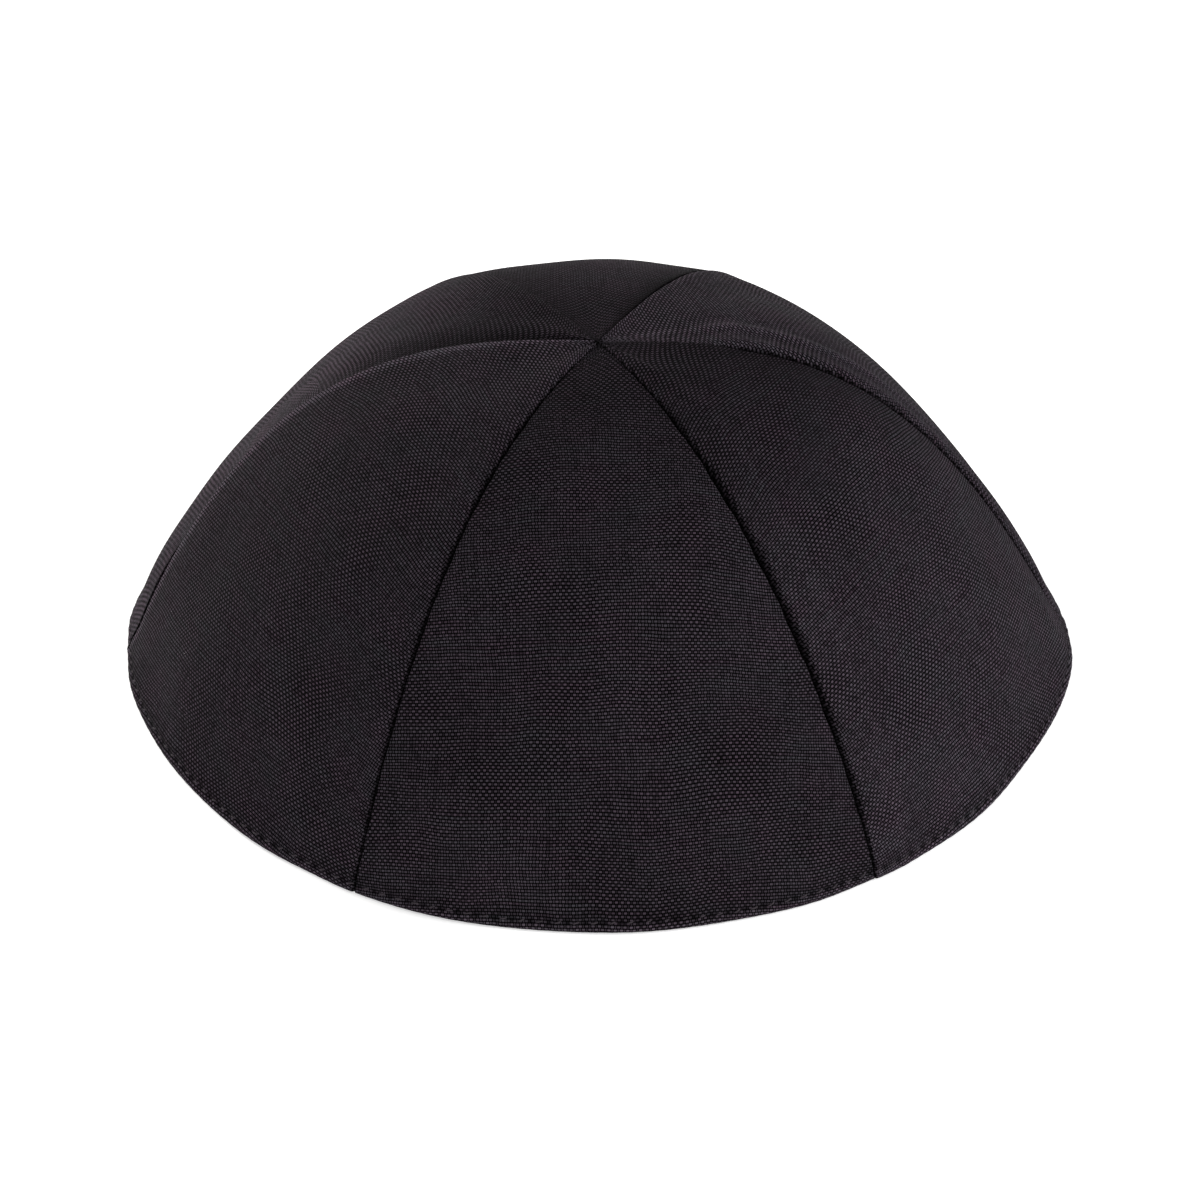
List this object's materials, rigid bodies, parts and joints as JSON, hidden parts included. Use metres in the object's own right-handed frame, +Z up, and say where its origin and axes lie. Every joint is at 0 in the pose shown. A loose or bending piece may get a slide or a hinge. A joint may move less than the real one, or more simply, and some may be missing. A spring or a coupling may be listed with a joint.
{
  "type": "kippah",
  "caption": "Round domed kippah of plain black woven cloth, with panels sewn from rim to crown and a turned, topstitched rim.",
  "frame": {"origin": "on the surface that the rim stands on, under the middle of the outline seen from above", "axes": "+Z up through the crown, -Y towards the middle of the front panel, +X to the right as seen from the front"},
  "size_m": [0.17, 0.1658, 0.0627],
  "materials": {
    "cloth": "matt black plain weave with a faint sheen"
  },
  "bodies": {
    "root": {"panel_front": "cloth", "panel_front_right": "cloth", "panel_back_right": "cloth", "panel_back": "cloth", "panel_back_left": "cloth", "panel_front_left": "cloth"}
  },
  "joints": []
}
